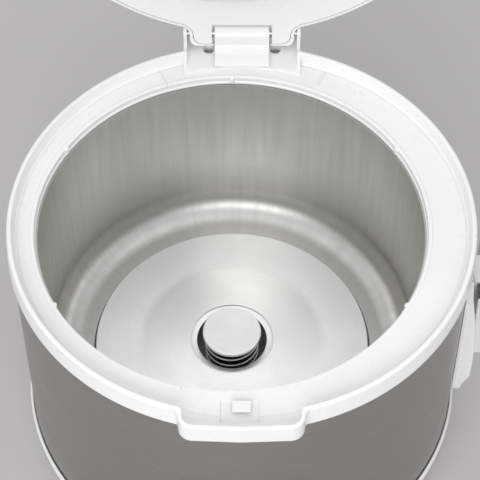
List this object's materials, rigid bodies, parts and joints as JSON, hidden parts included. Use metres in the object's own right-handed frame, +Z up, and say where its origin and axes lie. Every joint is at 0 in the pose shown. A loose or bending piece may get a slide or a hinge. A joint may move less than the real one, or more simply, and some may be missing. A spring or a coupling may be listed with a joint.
{
  "type": "rice cooker",
  "caption": "Round household rice cooker with its domed lid standing open, pot taken out, sprung heating plate sensor, cook lever, and a paddle holder at the side.",
  "frame": {"origin": "centre of the round body, on the plane of the four feet's soles", "axes": "+Z up, -Y to the front with the lid latch and cook lever, +Y to the rear with the lid hinge, +X to the cooker's side with the paddle holder"},
  "size_m": [0.2993, 0.3611, 0.4875],
  "materials": {
    "aluminium": "turned, satin",
    "amber_plastic": "translucent amber",
    "black_plastic": "matte black",
    "black_rubber": "matte black",
    "brass": "satin",
    "brushed_steel": "brushed stainless",
    "clear_plastic": "translucent pale blue-grey",
    "dark_steel": "dark",
    "grey_plastic": "satin grey",
    "ivory_plastic": "matte ivory",
    "red_plastic": "translucent red",
    "satin_steel": "satin stainless",
    "sensor_metal": "satin",
    "silicone": "satin pale grey",
    "spring_steel": "bright drawn wire",
    "white_plastic": "satin moulded white"
  },
  "bodies": {
    "casing": {"ac_inlet": "black_plastic", "base_housing": "white_plastic", "collar": "white_plastic", "foot_front_left": "black_rubber", "foot_front_right": "black_rubber", "foot_rear_left": "black_rubber", "foot_rear_right": "black_rubber", "front_panel": "grey_plastic", "heat_shield": "brushed_steel", "heating_element": "dark_steel", "heating_plate": "aluminium", "hinge_bracket": "brushed_steel", "hinge_cover": "white_plastic", "hinge_pin": "brushed_steel", "hinge_screw_left": "brushed_steel", "hinge_screw_right": "brushed_steel", "inlet_pin_earth": "brass", "inlet_pin_live": "brass", "inlet_pin_neutral": "brass", "inner_liner": "satin_steel", "lamp_lens_cook": "red_plastic", "lamp_lens_warm": "amber_plastic", "latch_keeper": "white_plastic", "lever_bracket": "brushed_steel", "lever_pin": "brushed_steel", "lid_spring": "spring_steel", "live_lead": "red_plastic", "micro_switch": "black_plastic", "neutral_lead": "black_plastic", "outer_shell": "brushed_steel", "sensor_sleeve": "dark_steel", "sensor_spring": "spring_steel", "side_bracket": "white_plastic", "support_leg_1": "brushed_steel", "support_leg_2": "brushed_steel", "support_leg_3": "brushed_steel", "terminal_block": "ivory_plastic", "thermal_fuse": "ivory_plastic", "warmer_band": "dark_steel"},
    "lid": {"lid_outer_shell": "white_plastic", "lid_lining": "white_plastic", "plate_post": "silicone", "vent_tube": "silicone", "hook_pin": "brushed_steel"},
    "inner_lid": {"inner_lid_plate": "aluminium", "lid_gasket": "silicone"},
    "steam_vent": {"steam_vent_cap": "white_plastic"},
    "button": {"latch_button": "grey_plastic"},
    "hook": {"latch_hook": "brushed_steel"},
    "sensor": {"sensor_cap": "sensor_metal", "sensor_ferrite": "dark_steel"},
    "magnet_lift": {"magnet": "dark_steel", "magnet_rod": "brushed_steel"},
    "cook_switch": {"cook_lever": "brushed_steel", "cook_knob": "white_plastic"},
    "plunger": {"switch_plunger": "ivory_plastic"},
    "holder": {"paddle_holder": "clear_plastic"}
  },
  "joints": [
    {"name": "lid_hinge", "type": "hinge", "parent": "casing", "child": "lid", "pos_m": [0, 0.141, 0.205], "axis": [1, 0, 0], "range_deg": [0, 98], "stiffness_Nm_per_rad": 0.45, "springref_deg": -68.75},
    {"name": "latch_button_slide", "type": "slide", "parent": "lid", "child": "button", "axis": [0, -0.9903, 0.1392], "range_m": [0, 0.0025], "stiffness_N_per_m": 400},
    {"name": "latch_hook_hinge", "type": "hinge", "parent": "lid", "child": "hook", "pos_m": [0, 0.18245, 0.47476], "axis": [-1, 0, 0], "range_deg": [0, 7.2]},
    {"name": "inner_lid_slide", "type": "slide", "parent": "lid", "child": "inner_lid", "axis": [0, -0.9903, 0.1392], "range_m": [0, 0.06]},
    {"name": "steam_vent_slide", "type": "slide", "parent": "lid", "child": "steam_vent", "axis": [0, 0.9903, -0.1392], "range_m": [0, 0.03]},
    {"name": "sensor_slide", "type": "slide", "parent": "casing", "child": "sensor", "axis": [0, 0, -1], "range_m": [0, 0.005], "stiffness_N_per_m": 300, "deforming": ["sensor_spring"]},
    {"name": "switch_lever", "type": "hinge", "parent": "casing", "child": "cook_switch", "pos_m": [0, -0.035, 0.028], "axis": [1, 0, 0], "range_deg": [0, 5.5], "stiffness_Nm_per_rad": 2, "springref_deg": -8.59},
    {"name": "magnet_slide", "type": "slide", "parent": "casing", "child": "magnet_lift", "axis": [0, 0, 1], "range_m": [0, 0.0036]},
    {"name": "plunger_slide", "type": "slide", "parent": "casing", "child": "plunger", "axis": [0, 0, -1], "range_m": [0, 0.0027]},
    {"name": "holder_slide", "type": "slide", "parent": "casing", "child": "holder", "axis": [0, 0, 1], "range_m": [0, 0.06]}
  ],
  "couplings": [
    {"joint": "latch_hook_hinge", "follows": "latch_button_slide", "rad_per_m": 48.869},
    {"joint": "magnet_slide", "follows": "switch_lever", "m_per_rad": 0.036461},
    {"joint": "plunger_slide", "follows": "switch_lever", "m_per_rad": 0.027085}
  ]
}
